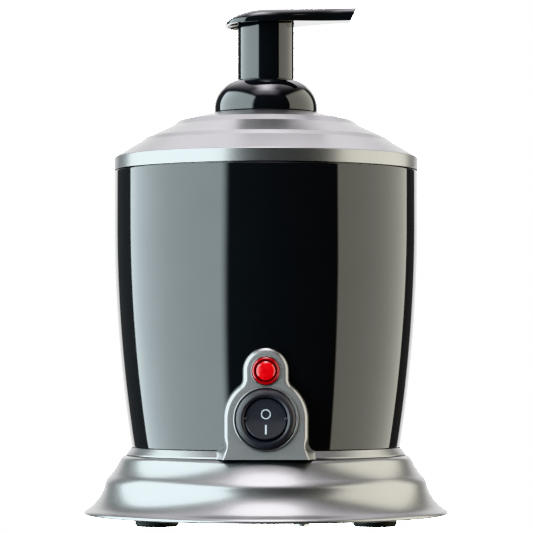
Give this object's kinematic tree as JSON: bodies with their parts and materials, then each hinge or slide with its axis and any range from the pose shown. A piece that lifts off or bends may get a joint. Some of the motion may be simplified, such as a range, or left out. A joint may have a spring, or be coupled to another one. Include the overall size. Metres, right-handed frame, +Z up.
{
  "type": "hot lather machine",
  "caption": "Heated foam dispenser: round black barrel on a flared silver stand, stepped silver lid, press-down pump with a teardrop spout, round rocker switch and red pilot lamp.",
  "frame": {"origin": "on the machine's axis, at the floor under its rubber feet", "axes": "+Z up along the axis; the switch faces -Y; the spout points along +X"},
  "size_m": [0.136, 0.136, 0.1922],
  "materials": {
    "silver_paint": "satin silver paint over moulding",
    "gloss_black": "polished black moulding",
    "satin_black": "fine satin charcoal moulding",
    "plate_black": "fine matt moulding",
    "foot_rubber": "matt rubber",
    "screw_steel": "zinc plated",
    "strip_steel": "rolled strip",
    "brass": "plain",
    "cup_aluminium": "spun, satin",
    "heater_silicone": "silicone laminate",
    "block_nylon": "moulded",
    "fuse_ceramic": "glazed ceramic body",
    "thermostat_phenolic": "moulded phenolic",
    "red_lens": "clear red moulding",
    "bulb_glass": "clear",
    "wire_brown": "cable sheath",
    "wire_blue": "cable sheath",
    "wire_green": "cable sheath",
    "wire_white": "cable sheath",
    "seal_silicone": "translucent silicone",
    "pump_white": "natural polypropylene",
    "piston_white": "natural polyethylene",
    "spring_steel": "drawn wire",
    "ball_glass": "polished"
  },
  "bodies": {
    "machine": {"base_skirt": "silver_paint", "bottom_plate": "plate_black", "rubber_feet": "foot_rubber", "plate_screws": "screw_steel", "shell_screws": "screw_steel", "cord_gland": "foot_rubber", "cord_clamp": "block_nylon", "clamp_screws": "screw_steel", "terminal_block": "block_nylon", "terminal_screws": "brass", "control_ring": "silver_paint", "main_shell": "gloss_black", "top_tray": "plate_black", "reservoir": "cup_aluminium", "heater_band": "heater_silicone", "heater_clamp": "strip_steel", "heater_clamp_bolt": "screw_steel", "thermostat": "thermostat_phenolic", "thermostat_screws": "screw_steel", "thermal_fuse": "fuse_ceramic", "fuse_clip": "strip_steel", "stud_nuts": "screw_steel", "switch_housing": "satin_black", "switch_terminals": "brass", "lamp_lens": "red_lens", "lamp_barrel": "plate_black", "lamp_clip": "strip_steel", "lamp_bulb": "bulb_glass", "live_wires": "wire_brown", "neutral_wire": "wire_blue", "earth_wire": "wire_green", "lamp_leads": "wire_white"},
    "rocker": {"switch_rocker": "satin_black"},
    "lid": {"lid": "silver_paint", "lid_seal": "seal_silicone"},
    "pump_unit": {"pump_cylinder": "pump_white", "dip_tube": "pump_white", "pump_spring": "spring_steel", "collar_gasket": "seal_silicone"},
    "collar": {"pump_collar": "gloss_black"},
    "plunger": {"pump_rod": "piston_white", "air_piston": "piston_white", "liquid_piston": "piston_white"},
    "spout": {"spout_head": "gloss_black", "foam_cartridge": "pump_white"},
    "inlet_valve": {"inlet_ball": "ball_glass"}
  },
  "joints": [
    {"name": "lid_lift", "type": "slide", "parent": "machine", "child": "lid", "axis": [0, 0, 1], "range_m": [0, 0.09]},
    {"name": "pump_rise", "type": "slide", "parent": "lid", "child": "pump_unit", "axis": [0, 0, 1], "range_m": [0, 0.0061]},
    {"name": "collar_turn", "type": "hinge", "parent": "pump_unit", "child": "collar", "pos_m": [0, 0, 0.156], "axis": [0, 0, 1], "range_deg": [0, 540]},
    {"name": "pump_stroke", "type": "slide", "parent": "pump_unit", "child": "plunger", "axis": [0, 0, -1], "range_m": [0, 0.014], "stiffness_N_per_m": 300, "springref_m": -0.012, "deforming": ["pump_spring"]},
    {"name": "spout_swivel", "type": "hinge", "parent": "plunger", "child": "spout", "pos_m": [0, 0, 0.175], "axis": [0, 0, 1], "continuous": true},
    {"name": "inlet_lift", "type": "slide", "parent": "pump_unit", "child": "inlet_valve", "axis": [0, 0, 1], "range_m": [0, 0.001]},
    {"name": "rocker_tilt", "type": "hinge", "parent": "machine", "child": "rocker", "pos_m": [0, -0.0564, 0.0389], "axis": [1, 0, 0], "range_deg": [0, 18]}
  ],
  "couplings": [
    {"joint": "pump_rise", "follows": "collar_turn", "m_per_rad": 0.00063662}
  ]
}
